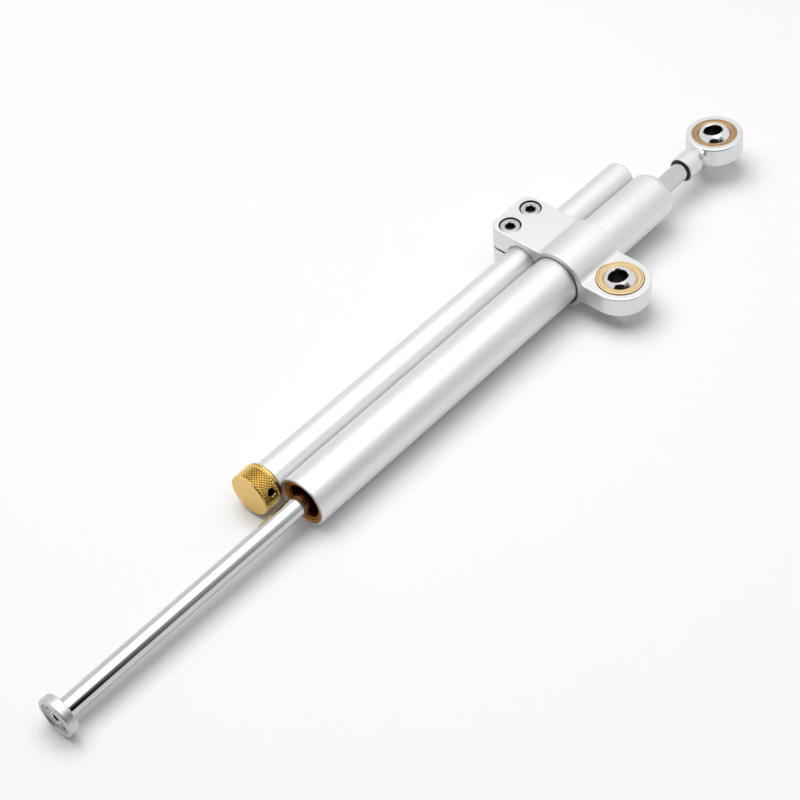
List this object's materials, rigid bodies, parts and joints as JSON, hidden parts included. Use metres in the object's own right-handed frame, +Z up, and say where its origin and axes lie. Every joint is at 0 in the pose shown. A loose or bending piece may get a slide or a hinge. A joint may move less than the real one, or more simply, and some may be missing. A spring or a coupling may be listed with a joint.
{
  "type": "linear steering damper",
  "caption": "Linear motorcycle steering damper: through rod in an oil-filled tube, side tube with an adjuster knob, sliding clamp and two spherical bearings.",
  "frame": {"origin": "centre of the ball bearing in the clamp", "axes": "+X along the rod from the end stop to the rod end, +Y from the main tube to the side tube, +Z up out of the clamp's flat plate"},
  "size_m": [0.3877, 0.07, 0.026],
  "materials": {
    "anodised_tube": "satin clear anodised, drawn tube",
    "anodised_block": "satin clear anodised over fine bead blasting, bright cut edges",
    "gold_gland": "amber anodised, turned",
    "gold_knob": "bright gold anodised, diamond knurl",
    "hard_chrome": "ground and hard chromed",
    "ball_chrome": "polished bearing ball",
    "bronze": "plain bearing bronze, turned",
    "screw_steel": "plated steel, dark sockets",
    "turned_steel": "turned steel",
    "piston_metal": "turned aluminium, bare",
    "spring_steel": "phosphated spring steel",
    "band_plastic": "filled low friction plastic",
    "seal_red": "moulded polyurethane, dark red",
    "seal_black": "moulded rubber",
    "bump_rubber": "dark rubber ring"
  },
  "bodies": {
    "barrel": {"main_tube": "anodised_tube", "side_tube": "anodised_tube", "side_plug": "anodised_tube", "side_plug_seal": "seal_black", "port_sleeves": "bronze", "front_gland": "gold_gland", "gland_seal": "seal_black", "front_bush": "bronze", "front_rod_seal": "seal_red", "front_wiper": "seal_red", "rear_guide": "gold_gland", "rear_guide_seal": "seal_black", "rear_bush": "bronze", "rear_rod_seal": "seal_red", "rear_wiper": "seal_red", "rear_circlip": "spring_steel", "adjuster_body": "gold_gland", "adjuster_seal": "seal_black", "valve_seat": "bronze", "spindle_seal": "seal_black", "spindle_circlip": "spring_steel", "detent_ball": "ball_chrome", "detent_spring": "spring_steel"},
    "band": {"piston_band": "band_plastic", "band_spring_ring": "seal_black"},
    "rod": {"rod": "hard_chrome", "piston": "piston_metal", "piston_shims": "turned_steel", "piston_circlips": "spring_steel", "end_stop": "anodised_block", "end_stop_screw": "screw_steel", "bump_ring": "bump_rubber", "rod_end": "anodised_block"},
    "rod_end_race": {"rod_end_race": "bronze"},
    "rod_end_ball": {"rod_end_ball": "ball_chrome"},
    "clamp": {"clamp_bracket": "anodised_block", "clamp_screws": "screw_steel"},
    "clamp_race": {"clamp_race": "bronze"},
    "clamp_ball": {"clamp_ball": "ball_chrome"},
    "knob": {"knob": "gold_knob", "knob_grub_screw": "screw_steel", "spindle": "turned_steel"},
    "needle": {"needle": "turned_steel"}
  },
  "joints": [
    {"name": "rod_slide", "type": "slide", "parent": "barrel", "child": "band", "axis": [1, 0, 0], "range_m": [-0.016, 0.116]},
    {"name": "rod_spin", "type": "hinge", "parent": "band", "child": "rod", "pos_m": [-0.106, 0.0225, 0], "axis": [1, 0, 0], "continuous": true},
    {"name": "rod_end_race_spin", "type": "hinge", "parent": "rod", "child": "rod_end_race", "pos_m": [0.0952, 0.0225, 0], "axis": [0, 0.0523, 0.9986], "continuous": true},
    {"name": "rod_end_ball_tilt", "type": "hinge", "parent": "rod_end_race", "child": "rod_end_ball", "pos_m": [0.0952, 0.0225, 0], "axis": [-1, 0, 0], "range_deg": [-20, 5]},
    {"name": "clamp_slide", "type": "slide", "parent": "barrel", "child": "clamp", "axis": [1, 0, 0], "range_m": [-0.14, 0.033]},
    {"name": "clamp_race_spin", "type": "hinge", "parent": "clamp", "child": "clamp_race", "pos_m": [0, 0, 0], "axis": [0, 0, 1], "continuous": true},
    {"name": "clamp_ball_tilt", "type": "hinge", "parent": "clamp_race", "child": "clamp_ball", "pos_m": [0, 0, 0], "axis": [-0.9397, -0.342, 0], "range_deg": [-22, 3]},
    {"name": "knob_turn", "type": "hinge", "parent": "barrel", "child": "knob", "pos_m": [-0.16, 0.0401, 0], "axis": [1, 0, 0], "range_deg": [-270, 270]},
    {"name": "needle_slide", "type": "slide", "parent": "barrel", "child": "needle", "axis": [1, 0, 0], "range_m": [-0.0006, 0.0006]}
  ],
  "couplings": [
    {"joint": "needle_slide", "follows": "knob_turn", "m_per_rad": 0.00011937}
  ]
}
